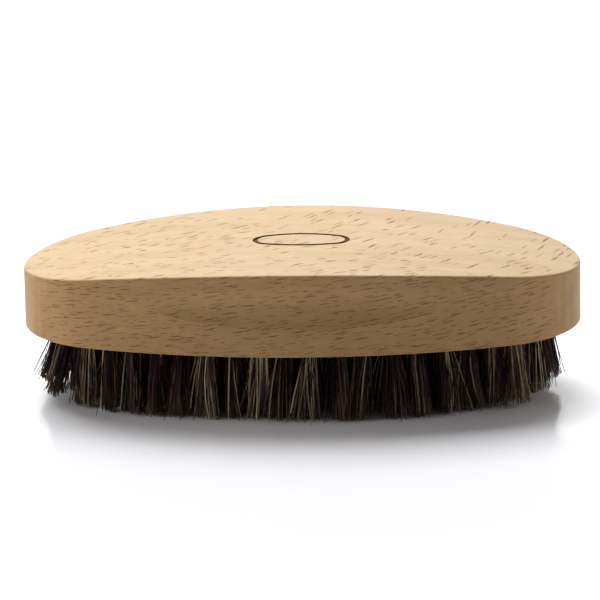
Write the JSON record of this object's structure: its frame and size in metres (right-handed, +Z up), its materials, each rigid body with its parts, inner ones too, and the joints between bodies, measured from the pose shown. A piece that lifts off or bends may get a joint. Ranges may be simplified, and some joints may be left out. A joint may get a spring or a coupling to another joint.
{
  "type": "beard brush",
  "caption": "Oval wooden beard brush with a domed top, shallow finger grooves and dense tufts of dark bristle anchored in a flat underside.",
  "frame": {"origin": "under the middle of the block, on the plane of the trimmed bristle tips", "axes": "+X along the block, +Y across it, +Z up from the bristle tips to the domed top"},
  "size_m": [0.12, 0.06, 0.033],
  "materials": {
    "wood": "fine sanded, oiled beech",
    "bristle": "stiff natural bristle, dark brown to black with tan hairs",
    "anchor_metal": "flat drawn wire"
  },
  "bodies": {
    "root": {"handle_block": "wood", "tufts_outer_ring_front": "bristle", "tufts_outer_ring_right": "bristle", "tufts_outer_ring_back": "bristle", "tufts_outer_ring_left": "bristle", "tufts_inner_ring_front": "bristle", "tufts_inner_ring_right": "bristle", "tufts_inner_ring_back": "bristle", "tufts_inner_ring_left": "bristle", "tufts_front_row_3": "bristle", "tufts_front_row_2": "bristle", "tufts_front_row_1": "bristle", "tufts_middle_row": "bristle", "tufts_back_row_1": "bristle", "tufts_back_row_2": "bristle", "tufts_back_row_3": "bristle", "anchors_outer_ring_front": "anchor_metal", "anchors_outer_ring_right": "anchor_metal", "anchors_outer_ring_back": "anchor_metal", "anchors_outer_ring_left": "anchor_metal", "anchors_inner_ring_front": "anchor_metal", "anchors_inner_ring_right": "anchor_metal", "anchors_inner_ring_back": "anchor_metal", "anchors_inner_ring_left": "anchor_metal", "anchors_front_row_3": "anchor_metal", "anchors_front_row_2": "anchor_metal", "anchors_front_row_1": "anchor_metal", "anchors_middle_row": "anchor_metal", "anchors_back_row_1": "anchor_metal", "anchors_back_row_2": "anchor_metal", "anchors_back_row_3": "anchor_metal"}
  },
  "joints": []
}
